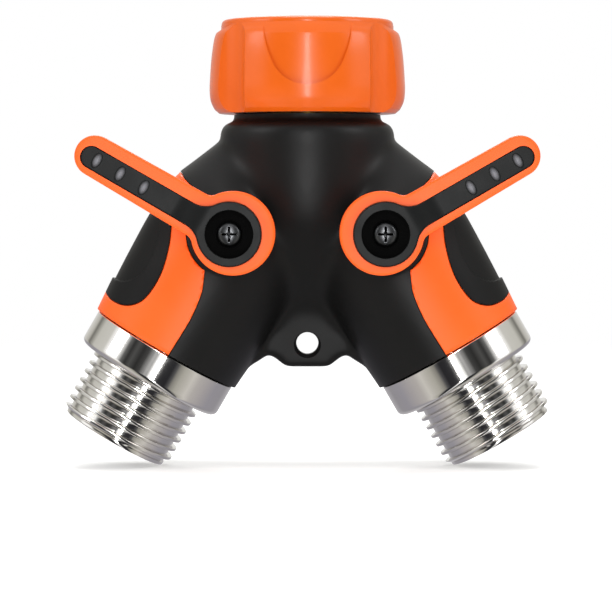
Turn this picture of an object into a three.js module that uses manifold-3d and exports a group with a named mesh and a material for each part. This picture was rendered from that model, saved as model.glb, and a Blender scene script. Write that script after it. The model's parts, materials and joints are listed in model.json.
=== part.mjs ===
// A two-way garden hose splitter with a swivelling tap nut and one ball valve in each outlet leg.
// Units are millimetres and +Z points up, towards the tap. The origin is the centre of the inlet
// washer's upper face, which is the face the tap presses on. The levers are on the -Y side.
// Each leg is drawn once in a frame of its own: its origin is the centre of the ball, +Z points back
// up the leg, -X points away from the other leg, and the valve stem runs along -Y.

import * as THREE from "three";
import { mergeVertices } from "three/addons/utils/BufferGeometryUtils.js";
import Module from "manifold-3d";

const wasm = await Module();
wasm.setup();

// Driving dimensions
const GAP = 0.3; // room left between neighbouring pieces
const FINE = 20; // facets round the large turned pieces
const COARSE = 12; // facets round the small turned pieces
const OUTLINE_STEPS = 3; // pieces that each curve of an outline is divided into

const LEG_TILT = Math.PI / 6; // each leg leaves the inlet axis at 30 degrees
const BALL_OFFSET_X = 17; // ball centre, sideways from the inlet axis
const BALL_Z = -35.5; // ball centre, below the tap seat

// 3/4-11.5 NH hose thread, drawn plain: the male one at its crests, the nut's at its crests too
const HOSE_MAJOR_R = 13.49;
const HOSE_MINOR_R = 12.15;
const NUT_THREAD_R = 12.5;

const NUT_TOP_Z = 12.4;
const NUT_BOTTOM_Z = -8.6;
const INSERT_R = 16.2; // outside of the nut's metal insert
const WASHER_R = 12.5;
const WASHER_HOLE_R = 8.15;
const WASHER_THICKNESS = 3;
const WATERWAY_R = 7.6;
const TAILPIECE_R = 10;
const TAILPIECE_END_Z = -18;

const NECK_R = 16.3;
const NECK_FOOT_Z = -10.6;
const NECK_CORE_R = 14.8; // the core inside the neck
const SHOULDER_R = 19.4;
const SHELL_END = 29.9; // distance down the leg to the end of the body shell
const LEG_CORE_R = 14.2;
const CHAMBER_R = 11.2;
const CHAMBER_TOP = 9.5; // distance up the leg to the shoulder that the upper seat rests on

const BALL_R = 10;
const PORT_R = 6.2; // bore of the ball and of the passage above it
const COLLAR_R = 17.3; // polished collar of the outlet fitting
const COLLAR_LENGTH = 7.8;
const OUTLET_END = 53.5; // distance down the leg to the end of the hose thread
const OUTLET_BORE_R = 9.6;

const LEVER_BACK_Y = -20.2;
const LEVER_FACE_Y = -26.5;
const LEVER_ARM_BACK_Y = -21.4;
const LEVER_REACH = 38.8;
const LEVER_HUB_R = 9.2;
const LEVER_HUB_SHIFT = [0.6, 0, 0.6]; // the hub is not quite round its screw
const INLAY_HUB_R = 7.05;
const RECESS_R = 5.3;
const PANEL_THICKNESS = 2.2;
const PAD_THICKNESS = 1.2;

const STEM_R = 3;
const STEM_FLANGE_TOP_Y = -11.9; // the end of the flange nearer the ball
const STEM_FLANGE_LOW_Y = -13;
const BUSH_BACK_Y = -13.6;
const BUSH_FACE_Y = -17.6;
const BUSH_BORE_R = 6.8; // hole in the core that the bush is pressed into
const SCREW_HOLE_R = 1.6;

const TAB_HOLE_Z = -60.3;
const TAB_HOLE_R = 2.5;
const TAB_BOTTOM_Z = -65.5;
const TAB_HALF_THICKNESS = 2.5;

const FINISHES = {
  orangeNut: { color: "#f2681a", roughness: 0.28, metalness: 0 },
  orangeGrip: { color: "#ff6e2d", roughness: 0.45, metalness: 0 },
  softBlack: { color: "#1c1c1c", roughness: 0.55, metalness: 0 },
  greyInsert: { color: "#2f3130", roughness: 0.45, metalness: 0 },
  plating: { color: "#d9d9d6", roughness: 0.12, metalness: 1 },
  casting: { color: "#9fa3a6", roughness: 0.45, metalness: 1 },
  brass: { color: "#c9a45a", roughness: 0.3, metalness: 1 },
  blackSteel: { color: "#4a4b4d", roughness: 0.3, metalness: 1 },
  seatPlastic: { color: "#efece4", roughness: 0.5, metalness: 0 },
  rubber: { color: "#2d2c30", roughness: 0.7, metalness: 0 },
};

// Solids: three.js geometry in, manifold-3d solid out, and back to a mesh at the end.

function solidFrom(geometry) {
  const bare = geometry.clone();
  bare.deleteAttribute("normal");
  bare.deleteAttribute("uv");
  const merged = mergeVertices(bare, 1e-4);
  const corners = merged.index.array;
  const kept = [];
  for (let i = 0; i < corners.length; i += 3) {
    const [a, b, c] = corners.slice(i, i + 3);
    if (a !== b && b !== c && c !== a) kept.push(a, b, c);
  }
  const vertProperties = merged.attributes.position.array;
  const build = (list) =>
    new wasm.Manifold(new wasm.Mesh({ numProp: 3, vertProperties, triVerts: new Uint32Array(list) }));
  const made = build(kept);
  return made.volume() > 0 ? made : build(kept.reverse());
}

// A profile of [radius, z] points turned about Z. It starts and ends on the axis or closes on itself.
function turned(profile, facets = FINE) {
  const points = profile.map(([radius, z]) => new THREE.Vector2(radius, z));
  return solidFrom(new THREE.LatheGeometry(points, facets).rotateX(Math.PI / 2));
}

// A ring of [radius, z] points: the profile is closed back to its first point.
function turnedRing(profile, facets = FINE) {
  return turned([...profile, profile[0]], facets);
}

// The outline's points with none closer than a hundredth of a millimetre to the one before it.
function cleanPoints(outline, curveSegments) {
  const points = outline.getPoints(curveSegments);
  const spaced = points.filter((point, i) => i === 0 || point.distanceTo(points[i - 1]) > 0.01);
  if (spaced.at(-1).distanceTo(spaced[0]) < 0.01) spaced.pop();
  return spaced;
}

// An outline in the XZ plane pushed through from backY to frontY, the smaller of the two.
function prism(outline, backY, frontY, curveSegments = OUTLINE_STEPS) {
  const shape = new THREE.Shape(cleanPoints(outline, curveSegments));
  const options = { depth: backY - frontY, bevelEnabled: false };
  const geometry = new THREE.ExtrudeGeometry(shape, options).rotateX(Math.PI / 2);
  return solidFrom(geometry.translate(0, backY, 0));
}

function cylinderAlongY(radius, backY, frontY, facets = COARSE) {
  const geometry = new THREE.CylinderGeometry(radius, radius, backY - frontY, facets);
  return solidFrom(geometry.translate(0, (backY + frontY) / 2, 0));
}

function cylinderAlongZ(radius, topZ, bottomZ, facets = FINE) {
  return turned([[0, topZ], [radius, topZ], [radius, bottomZ], [0, bottomZ]], facets);
}

function oRing(middleR, sectionR, facets = FINE) {
  const facetsOfSection = 5;
  return solidFrom(new THREE.TorusGeometry(middleR, sectionR, facetsOfSection, facets));
}

function meshFrom(solid, name, finish) {
  const { vertProperties, triVerts } = solid.getMesh();
  const geometry = new THREE.BufferGeometry();
  geometry.setAttribute("position", new THREE.BufferAttribute(vertProperties, 3));
  geometry.setIndex(new THREE.BufferAttribute(triVerts, 1));
  geometry.computeVertexNormals();
  const mesh = new THREE.Mesh(geometry, new THREE.MeshStandardMaterial(FINISHES[finish]));
  mesh.name = name;
  return mesh;
}

// The same outline moved outwards by a small amount all round.
function grown(outline, amount, curveSegments = OUTLINE_STEPS) {
  const points = cleanPoints(outline, curveSegments);
  const turn = THREE.ShapeUtils.isClockWise(points) ? -1 : 1;
  const count = points.length;
  const normal = (from, to) => new THREE.Vector2(to.y - from.y, from.x - to.x).normalize();
  const moved = points.map((point, i) => {
    const before = normal(points[(i + count - 1) % count], point);
    const after = normal(point, points[(i + 1) % count]);
    const middle = before.clone().add(after).normalize();
    const stretch = (turn * amount) / Math.max(middle.dot(after), 0.5);
    return point.clone().addScaledVector(middle, stretch);
  });
  return new THREE.Shape(moved);
}

// Moves a solid from a leg's frame to the object's frame; side is -1 for left and +1 for right.
const legFrame = new THREE.Matrix4()
  .makeRotationY(LEG_TILT)
  .setPosition(-BALL_OFFSET_X, 0, BALL_Z);

function inLeg(solid, side) {
  const left = solid.transform(legFrame.elements);
  return side < 0 ? left : left.mirror([1, 0, 0]);
}

function bothLegs(solid) {
  return inLeg(solid, -1).add(inLeg(solid, 1));
}

// Outer shapes of the body, which the shell, the side panels and the thumb pads share

function legSurface(inset) {
  const radiusAt = [
    [17, 12.4], [12.4, 14.4], [9, 15.8], [6.2, 17], [0, 18.4], [-4.8, 18.9],
    [-12.4, 18.8], [-22, 18.4], [-SHELL_END, 17.8],
  ];
  const profile = radiusAt.map(([z, radius]) => [radius - inset, z]);
  return turned([[0, 19], ...profile, [0, -SHELL_END]]);
}

function shoulderSurface() {
  return turned([
    [0, NUT_BOTTOM_Z - GAP], [NECK_R, NUT_BOTTOM_Z - GAP], [NECK_R, NECK_FOOT_Z],
    [17.4, NECK_FOOT_Z], [18.8, -11.4], [SHOULDER_R, -12.9], [SHOULDER_R, -15.6],
    [18.9, -24], [17.6, -32], [12.3, -42], [0, -50],
  ]);
}

// The web that fills the fork, thick at the top and thin at the hanging tab.
function forkWeb() {
  const tabHalf = [
    [4, TAB_BOTTOM_Z], [5.2, -65.1], [7.4, -63.2], [8.4, -62.8], [10.2, -63.6], [17, -62],
    [14, -50],
  ];
  const webHalf = [[8, -51], [14, -48], [0, -30]];
  const bothHalves = (half) => {
    const right = half.map(([x, z]) => new THREE.Vector2(x, z));
    const left = right.filter(({ x }) => x > 0).map(({ x, y }) => new THREE.Vector2(-x, y)).reverse();
    return new THREE.Shape([...right, ...left]);
  };
  const webHalfThickness = 7;
  const plate = prism(bothHalves(tabHalf), TAB_HALF_THICKNESS, -TAB_HALF_THICKNESS);
  return plate.add(prism(bothHalves(webHalf), webHalfThickness, -webHalfThickness));
}

function coreSurface(growth) {
  const leg = turned([
    [0, 17.5 + growth], [8.2 + growth, 16.8 + growth], [10.4 + growth, 12.4], [12 + growth, 9],
    [13.4 + growth, 5.5], [LEG_CORE_R + growth, 2], [LEG_CORE_R + growth, -SHELL_END],
    [0, -SHELL_END],
  ]);
  const bossR = 8.4;
  const bossBackY = -6;
  const valveBoss = cylinderAlongY(bossR + growth, bossBackY, BUSH_FACE_Y - growth);
  const neckTopZ = -9.2;
  const neckLowZ = -20;
  const neck = turned([
    [0, neckTopZ], [NECK_CORE_R + growth, neckTopZ], [NECK_CORE_R + growth, neckLowZ],
    [10, -30 - growth], [0, -32 - growth],
  ]);
  return bothLegs(leg.add(valveBoss)).add(neck);
}

// Core: a cast Y with the valve chambers, the passages and the stem bores

function manifoldCore() {
  const inletBoreR = TAILPIECE_R + GAP;
  const chamberUnderInletR = 8.6;
  const tailpieceStepZ = TAILPIECE_END_Z - GAP;
  const inletBore = turned([
    [0, 0], [inletBoreR, 0], [inletBoreR, tailpieceStepZ],
    [chamberUnderInletR, tailpieceStepZ], [chamberUnderInletR, -24], [5, -28], [0, -29],
  ]);
  const passageTop = 16;
  const waterPath = turned([
    [0, passageTop], [PORT_R, passageTop], [PORT_R, CHAMBER_TOP],
    [CHAMBER_R, CHAMBER_TOP], [CHAMBER_R, -SHELL_END - 1], [0, -SHELL_END - 1],
  ]);
  const stemHoleR = STEM_R + 0.5;
  const flangeSeatR = 4.9;
  const flangeSeatY = STEM_FLANGE_TOP_Y + GAP;
  const bushSeatY = BUSH_BACK_Y + GAP;
  const stemBore = cylinderAlongY(stemHoleR, 0, flangeSeatY - 1)
    .add(cylinderAlongY(flangeSeatR, flangeSeatY, bushSeatY - 1))
    .add(cylinderAlongY(BUSH_BORE_R, bushSeatY, BUSH_FACE_Y - 1));
  return coreSurface(0).subtract(inletBore).subtract(bothLegs(waterPath.add(stemBore)));
}

// Outlines of the grip panel and of the thumb pad, in the leg's frame

const OUTSIDE_X = -24; // beyond the outer side of the leg

function panelOutline() {
  const hubReliefR = 9.95; // clears the turning lever
  const shape = new THREE.Shape();
  shape.moveTo(OUTSIDE_X, 7.2);
  shape.lineTo(-17.1, 6.1);
  shape.lineTo(-14.7, 5.2);
  shape.lineTo(-9.11, 4);
  shape.absarc(0, 0, hubReliefR, Math.atan2(4, -9.11), Math.atan2(-9.91, -0.85), false);
  shape.splineThru([
    new THREE.Vector2(0, -11.9), new THREE.Vector2(1.1, -14.7), new THREE.Vector2(1.7, -19.8),
    new THREE.Vector2(1.7, -23.7),
  ]);
  shape.lineTo(1.4, -SHELL_END - 1);
  shape.lineTo(OUTSIDE_X, -SHELL_END - 1);
  return shape;
}

function padOutline() {
  const shape = new THREE.Shape();
  shape.moveTo(OUTSIDE_X, -0.5);
  shape.lineTo(-15.5, -0.5);
  shape.quadraticCurveTo(-13.6, -1.4, -12.4, -4.8);
  shape.splineThru([
    new THREE.Vector2(-10.5, -9), new THREE.Vector2(-9, -14.7), new THREE.Vector2(-8.9, -19.8),
    new THREE.Vector2(-9.6, -22.6), new THREE.Vector2(-11.9, -25.1),
    new THREE.Vector2(-15.3, -26.1), new THREE.Vector2(-17.9, -25.7),
  ]);
  shape.lineTo(OUTSIDE_X, -24.5);
  return shape;
}

const THROUGH_Y = 24; // beyond the front and back of the leg

function sidePanel() {
  const inside = legSurface(PANEL_THICKNESS);
  const padPocket = prism(grown(padOutline(), GAP), THROUGH_Y, -THROUGH_Y)
    .subtract(legSurface(PAD_THICKNESS + GAP));
  return legSurface(0)
    .intersect(prism(panelOutline(), THROUGH_Y, -THROUGH_Y))
    .subtract(inside)
    .subtract(padPocket);
}

function thumbPad() {
  return legSurface(0)
    .intersect(prism(padOutline(), THROUGH_Y, -THROUGH_Y))
    .subtract(legSurface(PAD_THICKNESS));
}

// Shell: the soft black moulding over the core, with pockets for the grip panels

function bodyShell() {
  const leverSeatR = 8.6;
  const leverSeatY = LEVER_BACK_Y + GAP;
  const insideY = -10; // well inside the core's boss
  const leverSeat = cylinderAlongY(leverSeatR, insideY - 2, leverSeatY);
  const stemOpening = cylinderAlongY(STEM_R + 2 * GAP, insideY, leverSeatY - 1);
  const bushOpening = cylinderAlongY(BUSH_BORE_R, insideY, BUSH_FACE_Y - 2 * GAP);
  const panelPocket = prism(grown(panelOutline(), GAP), THROUGH_Y, -THROUGH_Y)
    .subtract(legSurface(PANEL_THICKNESS + GAP))
    .subtract(cylinderAlongY(leverSeatR, 0, -THROUGH_Y));
  const tabHole = cylinderAlongY(TAB_HOLE_R, THROUGH_Y, -THROUGH_Y).translate([0, 0, TAB_HOLE_Z]);
  const openLegEnd = cylinderAlongZ(LEG_CORE_R + GAP, -SHELL_END + 1, -SHELL_END - 1);
  const neckMouth = cylinderAlongZ(NECK_CORE_R + GAP, NUT_BOTTOM_Z, -12);
  return bothLegs(legSurface(0).add(leverSeat))
    .add(shoulderSurface())
    .add(forkWeb())
    .subtract(coreSurface(GAP))
    .subtract(bothLegs(openLegEnd.add(panelPocket).add(stemOpening).add(bushOpening)))
    .subtract(neckMouth)
    .subtract(tabHole);
}

// Inlet: tailpiece, nut and washer

const FLANGE_TOP_Z = -WASHER_THICKNESS - GAP;
const FLANGE_BOTTOM_Z = FLANGE_TOP_Z - 2;
const TAIL_GROOVE_Z = -14;

function inletTailpiece() {
  const flangeR = 12.4;
  const grooveFloorR = 8.7;
  const grooveHalfWidth = 0.9;
  return turnedRing([
    [WATERWAY_R, FLANGE_TOP_Z], [flangeR, FLANGE_TOP_Z], [flangeR, FLANGE_BOTTOM_Z],
    [TAILPIECE_R, FLANGE_BOTTOM_Z], [TAILPIECE_R, TAIL_GROOVE_Z + grooveHalfWidth],
    [grooveFloorR, TAIL_GROOVE_Z + grooveHalfWidth], [grooveFloorR, TAIL_GROOVE_Z - grooveHalfWidth],
    [TAILPIECE_R, TAIL_GROOVE_Z - grooveHalfWidth], [TAILPIECE_R, TAILPIECE_END_Z],
    [WATERWAY_R, TAILPIECE_END_Z],
  ]);
}

function nutInsert() {
  const mouthR = 14;
  const topZ = 10.9;
  const washerGrooveR = 14.7;
  const washerGrooveTopZ = 0.4;
  const lipHoleR = 10.6;
  return turnedRing([
    [INSERT_R, topZ], [mouthR, topZ], [NUT_THREAD_R, 9.6], [NUT_THREAD_R, washerGrooveTopZ],
    [washerGrooveR, washerGrooveTopZ], [washerGrooveR, -WASHER_THICKNESS - GAP],
    [13, -WASHER_THICKNESS - GAP], [13, FLANGE_BOTTOM_Z - GAP], [lipHoleR, FLANGE_BOTTOM_Z - GAP],
    [lipHoleR, NUT_BOTTOM_Z], [INSERT_R, NUT_BOTTOM_Z],
  ]);
}

// How far the grip stands out at an angle: 1 on the grip faces and 0 in the four flutes.
function gripHeight(angle) {
  const fluteCentre = 0.897; // 51.4 degrees either side of the front and back
  const fluteHalfWidth = 0.2;
  const fromFront = Math.abs(Math.asin(Math.sin(angle)));
  const away = Math.abs(fromFront - fluteCentre) / fluteHalfWidth;
  return away > 1 ? 1 : away * away;
}

function nutGrip() {
  const insideR = INSERT_R + GAP;
  const lipR = 14.6;
  const lipBottomZ = 11.2;
  const plainR = 19.4;
  const profile = [
    [lipR, NUT_TOP_Z], [18.2, NUT_TOP_Z], [plainR, 11.2], [plainR + 0.1, 9.8], [20.9, 8.6],
    [22.1, -3.3], [21.7, -6.2], [19.8, NUT_BOTTOM_Z], [insideR, NUT_BOTTOM_Z],
    [insideR, lipBottomZ], [lipR, lipBottomZ], [lipR, NUT_TOP_Z],
  ];
  const points = profile.map(([radius, z]) => new THREE.Vector2(radius, z));
  const facets = 42;
  const geometry = new THREE.LatheGeometry(points, facets).rotateX(Math.PI / 2);
  const place = geometry.attributes.position;
  for (let i = 0; i < place.count; i += 1) {
    const x = place.getX(i);
    const y = place.getY(i);
    const radius = Math.hypot(x, y);
    const standing = Math.max(radius - plainR, 0);
    const wanted = radius - standing * (1 - gripHeight(Math.atan2(x, -y)));
    place.setXY(i, (x * wanted) / radius, (y * wanted) / radius);
  }
  return solidFrom(geometry);
}

function inletWasher() {
  const ring = turnedRing([
    [WASHER_HOLE_R, 0], [WASHER_R, 0], [WASHER_R, -WASHER_THICKNESS],
    [WASHER_HOLE_R, -WASHER_THICKNESS],
  ]);
  const tabR = 1.42;
  const tabCentreR = 12.87;
  const tabBottomZ = -2.2;
  const tab = cylinderAlongZ(tabR, -0.8, tabBottomZ, 12).translate([0, -tabCentreR, 0]);
  const tabs = [0, 120, 240].map((angle) => tab.rotate([0, 0, angle]));
  return tabs.reduce((whole, one) => whole.add(one), ring);
}

// Valve: seats, ball, stem, seals and the lever on it, in the leg's frame

function ballSeat(end) {
  const outerR = CHAMBER_R - GAP;
  const backZ = CHAMBER_TOP - GAP;
  return turnedRing([
    [6.5, end * backZ], [outerR, end * backZ], [outerR, end * 4.5], [9.7, end * 4.5],
    [6.5, end * 8.2],
  ], COARSE);
}

function ball() {
  const sphere = solidFrom(new THREE.SphereGeometry(BALL_R, 18, 12));
  const port = cylinderAlongZ(PORT_R, BALL_R + 1, -BALL_R - 1, COARSE).rotate([0, 90, 0]);
  const slotHalfWidth = 2.2;
  const slotHalfLength = 3.6;
  const slotFloorY = -7.4;
  const slot = prism(rectangle(slotHalfLength, slotHalfWidth), slotFloorY, -BALL_R - 1);
  return sphere.subtract(port).subtract(slot);
}

const STEM_END_Y = -23.4;
const STEM_RING_Y = [-14.8, -16.5];
const STEM_SHOULDER_Y = -18.4; // where the round shaft becomes the lever's square drive

function rectangle(halfWidth, halfHeight) {
  return new THREE.Shape([
    new THREE.Vector2(-halfWidth, -halfHeight), new THREE.Vector2(halfWidth, -halfHeight),
    new THREE.Vector2(halfWidth, halfHeight), new THREE.Vector2(-halfWidth, halfHeight),
  ]);
}

function valveStem() {
  const flangeR = 4.6;
  const grooveFloorR = 1.9;
  const grooveHalfWidth = 0.65;
  const driveHalf = 2.1;
  const threadHoleR = 1.55;
  const groove = (y) => [
    [STEM_R, y + grooveHalfWidth], [grooveFloorR, y + grooveHalfWidth],
    [grooveFloorR, y - grooveHalfWidth], [STEM_R, y - grooveHalfWidth],
  ];
  const shaftBackY = -11.4;
  const overlap = 0.2;
  const shaft = turned([
    [0, shaftBackY], [STEM_R, shaftBackY], [STEM_R, STEM_FLANGE_TOP_Y], [flangeR, STEM_FLANGE_TOP_Y],
    [flangeR, STEM_FLANGE_LOW_Y], [STEM_R, STEM_FLANGE_LOW_Y],
    ...STEM_RING_Y.flatMap(groove), [STEM_R, STEM_SHOULDER_Y], [0, STEM_SHOULDER_Y],
  ], COARSE).rotate([-90, 0, 0]);
  const tang = prism(rectangle(2.6, 1.8), -7.8, shaftBackY - overlap);
  const drive = prism(rectangle(driveHalf, driveHalf), STEM_SHOULDER_Y + overlap, STEM_END_Y);
  const screwHole = cylinderAlongY(threadHoleR, STEM_SHOULDER_Y - 0.4, STEM_END_Y - 1);
  return shaft.add(tang).add(drive).subtract(screwHole);
}

function stemBush() {
  const bore = cylinderAlongY(STEM_R + GAP, BUSH_BACK_Y + 1, BUSH_FACE_Y - 1);
  return cylinderAlongY(BUSH_BORE_R - GAP, BUSH_BACK_Y, BUSH_FACE_Y).subtract(bore);
}

// A round hub with a straight arm towards -X, joined by hollow fillets. shift moves the arm along Z.
function leverOutline({ hubR, armHalf, tipHalf, reach, filletR, shift }) {
  const shape = new THREE.Shape();
  const top = shift + armHalf;
  const bottom = shift - armHalf;
  const across = (height) =>
    Math.sqrt((hubR + filletR) ** 2 - (Math.abs(height) + filletR) ** 2);
  const topX = -across(top);
  const bottomX = -across(bottom);
  shape.moveTo(topX, top);
  shape.absarc(topX, top + filletR, filletR, -Math.PI / 2, Math.atan2(-top - filletR, -topX), false);
  shape.absarc(0, 0, hubR, Math.atan2(top + filletR, topX), Math.atan2(bottom - filletR, bottomX), true);
  const bottomStart = Math.atan2(filletR - bottom, -bottomX);
  shape.absarc(bottomX, bottom - filletR, filletR, bottomStart, Math.PI / 2, false);
  shape.absarc(tipHalf - reach, shift, tipHalf, -Math.PI / 2, Math.PI / 2, true);
  shape.closePath();
  return shape;
}

const LEVER = {
  hubR: LEVER_HUB_R, armHalf: 4.9, tipHalf: 4.5, reach: LEVER_REACH, filletR: 2.6, shift: -0.45,
};
const LEVER_INLAY = {
  hubR: INLAY_HUB_R, armHalf: 2.4, tipHalf: 2.4, reach: 36.6, filletR: 5.5, shift: -0.45,
};
const LEVER_STEPS = 5; // pieces that each curve of the lever's outline is divided into
const INLAY_BACK_Y = -24;
const INLAY_FACE_Y = -26.7;
const INLAY_COLLAR_Y = -28.2;

function lever() {
  const arm = prism(leverOutline(LEVER), LEVER_ARM_BACK_Y, LEVER_FACE_Y, LEVER_STEPS);
  const hub = cylinderAlongY(LEVER_HUB_R, LEVER_BACK_Y, LEVER_ARM_BACK_Y - 1, FINE);
  const inlayRoom = grown(leverOutline(LEVER_INLAY), GAP, LEVER_STEPS);
  const pocket = prism(inlayRoom, INLAY_BACK_Y + GAP, INLAY_COLLAR_Y - 1);
  const driveHalf = 2.4;
  const driveHole = prism(rectangle(driveHalf, driveHalf), LEVER_BACK_Y + 1, INLAY_BACK_Y - 1);
  return arm.add(hub).translate(LEVER_HUB_SHIFT).subtract(pocket).subtract(driveHole);
}

function leverInlay() {
  const collar = cylinderAlongY(INLAY_HUB_R - 0.6, INLAY_FACE_Y + 0.7, INLAY_COLLAR_Y, FINE);
  const recessFloorY = -25;
  const outsideY = INLAY_COLLAR_Y - 2;
  return prism(leverOutline(LEVER_INLAY), INLAY_BACK_Y, INLAY_FACE_Y, LEVER_STEPS)
    .add(collar)
    .subtract(cylinderAlongY(RECESS_R, recessFloorY, outsideY, FINE))
    .subtract(cylinderAlongY(SCREW_HOLE_R, LEVER_BACK_Y, outsideY));
}

function leverScrew() {
  const [headR, headFootR, headHeight, headCentreY] = [2.85, 2.2, 1.9, -26.25];
  const head = new THREE.CylinderGeometry(headR, headFootR, headHeight, COARSE);
  const headSolid = solidFrom(head.rotateX(Math.PI)).translate([0, headCentreY, 0]);
  const shankEndY = -19.6;
  const slot = prism(rectangle(1.5, 0.35), headCentreY, headCentreY - headHeight);
  return headSolid
    .add(cylinderAlongY(1.25, shankEndY, headCentreY))
    .subtract(slot)
    .subtract(slot.rotate([0, 90, 0]));
}

// Outlet fitting: screwed tail, polished collar and male hose thread

const TAIL_SEAL = 26.5; // distance down the leg to the fitting's O-ring

function outletFitting() {
  const tailR = CHAMBER_R - GAP;
  const collarTop = -SHELL_END - GAP;
  const collarBottom = collarTop - COLLAR_LENGTH;
  const grooveFloorR = 9.4;
  const grooveHalfWidth = 0.9;
  const chamfer = 0.4;
  const threadTop = -40.2;
  const threadBottom = -OUTLET_END + 1.5;
  return turnedRing([
    [8, -CHAMBER_TOP], [tailR, -CHAMBER_TOP], [tailR, -TAIL_SEAL + grooveHalfWidth],
    [grooveFloorR, -TAIL_SEAL + grooveHalfWidth], [grooveFloorR, -TAIL_SEAL - grooveHalfWidth],
    [tailR, -TAIL_SEAL - grooveHalfWidth], [tailR, collarTop],
    [COLLAR_R - chamfer, collarTop], [COLLAR_R, collarTop - chamfer],
    [COLLAR_R, collarBottom + chamfer], [COLLAR_R - chamfer, collarBottom],
    [HOSE_MINOR_R, collarBottom], [HOSE_MINOR_R, threadTop + 1], [HOSE_MAJOR_R, threadTop],
    [HOSE_MAJOR_R, threadBottom], [HOSE_MINOR_R, -OUTLET_END],
    [OUTLET_BORE_R, -OUTLET_END], [OUTLET_BORE_R, -36], [8, -35],
  ]);
}

// Assembly

function legPieces(side) {
  const word = side < 0 ? "left" : "right";
  const leg = new THREE.Group();
  leg.position.set(-BALL_OFFSET_X, 0, BALL_Z);
  leg.rotation.y = LEG_TILT;
  const add = (solid, name, finish) => {
    const mesh = meshFrom(solid, `${word}_${name}`, finish);
    leg.add(mesh);
    return mesh;
  };
  add(sidePanel(), "side_panel", "orangeGrip");
  add(thumbPad(), "thumb_pad", "softBlack");
  add(outletFitting(), "outlet_fitting", "plating");
  add(oRing(10.2, 0.65), "fitting_o_ring", "rubber").position.z = -TAIL_SEAL;
  add(ballSeat(1), "upper_ball_seat", "seatPlastic");
  add(ballSeat(-1), "lower_ball_seat", "seatPlastic");
  add(stemBush(), "stem_bush", "brass");
  add(ball(), "valve_ball", "plating");
  add(valveStem(), "valve_stem", "brass");
  STEM_RING_Y.forEach((y, i) => {
    const seal = add(oRing(2.6, 0.5, COARSE), `stem_o_ring_${i + 1}`, "rubber");
    seal.rotation.x = Math.PI / 2;
    seal.position.y = y;
  });
  add(lever(), "lever", "orangeGrip");
  add(leverInlay(), "lever_inlay", "greyInsert");
  add(leverScrew(), "lever_screw", "blackSteel");
  const placed = new THREE.Group();
  placed.add(leg);
  placed.scale.x = -side;
  return placed;
}

function inletPieces() {
  const inlet = new THREE.Group();
  inlet.add(meshFrom(inletTailpiece(), "inlet_tailpiece", "brass"));
  const seal = meshFrom(oRing(9.5, 0.6), "tailpiece_o_ring", "rubber");
  seal.position.z = TAIL_GROOVE_Z;
  inlet.add(seal);
  inlet.add(meshFrom(nutInsert(), "nut_threaded_insert", "casting"));
  inlet.add(meshFrom(nutGrip(), "nut_grip", "orangeNut"));
  inlet.add(meshFrom(inletWasher(), "inlet_washer", "rubber"));
  return inlet;
}

const splitter = new THREE.Group();
splitter.add(meshFrom(manifoldCore(), "manifold_core", "casting"));
splitter.add(meshFrom(bodyShell(), "body_shell", "softBlack"));
splitter.add(inletPieces(), legPieces(-1), legPieces(1));

export default splitter;
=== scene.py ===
# %% [markdown]
# A garden hose splitter, finished around its CAD frame
#
# The frame that is loaded here is the engineering model: where every piece sits and how the nut and
# the two levers turn. It is never moved. Around it this lesson makes the finished surfaces: the soft
# black moulding, the orange grips, the polished fittings with real threads, and the small parts.
# Everything is in metres, with +Z up towards the tap and the levers on the -Y side.

import math

import bpy
from mathutils import Matrix, Vector
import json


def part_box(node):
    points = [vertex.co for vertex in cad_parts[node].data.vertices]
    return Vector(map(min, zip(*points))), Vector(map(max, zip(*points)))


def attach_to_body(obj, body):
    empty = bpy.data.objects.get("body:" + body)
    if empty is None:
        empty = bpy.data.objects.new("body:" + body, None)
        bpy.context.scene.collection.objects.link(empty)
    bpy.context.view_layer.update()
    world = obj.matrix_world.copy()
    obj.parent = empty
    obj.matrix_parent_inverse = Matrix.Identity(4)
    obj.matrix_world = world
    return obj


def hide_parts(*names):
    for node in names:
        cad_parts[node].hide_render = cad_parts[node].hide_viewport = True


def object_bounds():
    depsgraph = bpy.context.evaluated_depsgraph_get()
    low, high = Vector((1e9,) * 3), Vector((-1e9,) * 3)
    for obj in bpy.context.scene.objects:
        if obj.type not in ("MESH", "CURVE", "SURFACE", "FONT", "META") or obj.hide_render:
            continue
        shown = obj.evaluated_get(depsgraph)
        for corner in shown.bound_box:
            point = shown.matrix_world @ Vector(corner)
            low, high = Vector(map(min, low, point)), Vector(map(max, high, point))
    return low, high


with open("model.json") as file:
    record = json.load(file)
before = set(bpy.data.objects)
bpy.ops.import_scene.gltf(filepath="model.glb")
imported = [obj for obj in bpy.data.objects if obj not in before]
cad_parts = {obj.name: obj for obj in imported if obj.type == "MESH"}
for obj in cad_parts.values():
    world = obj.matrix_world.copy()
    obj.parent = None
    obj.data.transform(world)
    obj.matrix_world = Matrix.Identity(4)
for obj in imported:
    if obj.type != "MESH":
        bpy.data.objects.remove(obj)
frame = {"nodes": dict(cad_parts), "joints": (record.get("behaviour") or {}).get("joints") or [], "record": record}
cad_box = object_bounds()
print("CAD box", cad_box)

# %% [markdown]
# The frame already says where things are, so the few sizes that are needed come from its nodes. The
# two legs are mirror images. Each is drawn once, in a frame of its own whose origin is the centre of
# the ball, with +Z back up the leg and -X pointing away from the other leg.

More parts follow.
